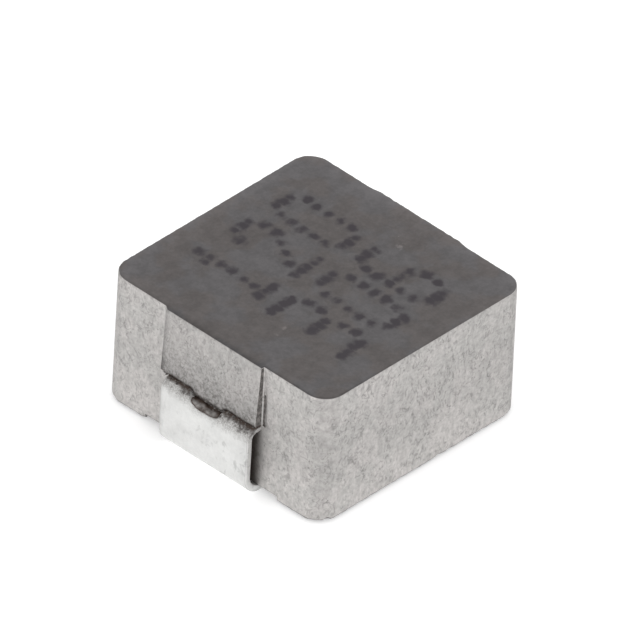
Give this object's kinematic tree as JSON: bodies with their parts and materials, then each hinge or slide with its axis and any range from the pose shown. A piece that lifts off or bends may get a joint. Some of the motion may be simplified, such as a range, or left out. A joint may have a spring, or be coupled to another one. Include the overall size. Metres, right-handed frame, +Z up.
{
  "type": "shielded smd inductor",
  "caption": "Moulded powder block with a flat-wire coil inside and a bent strip terminal at each end, for surface mounting.",
  "frame": {"origin": "on the seating plane under the middle of the block; the undersides of both feet lie in this plane", "axes": "+X through both terminals, with the near terminal at -X; +Y across the block; +Z up, out of the circuit board"},
  "size_m": [0.011, 0.01, 0.0052],
  "materials": {
    "pressed_powder": "matte, pressed iron powder with a fine grain",
    "enamelled_copper": "satin enamel on copper",
    "tinned_strip": "matte tin plating"
  },
  "bodies": {
    "root": {"powder_body": "pressed_powder", "coil": "enamelled_copper", "near_terminal": "tinned_strip", "far_terminal": "tinned_strip"}
  },
  "joints": []
}
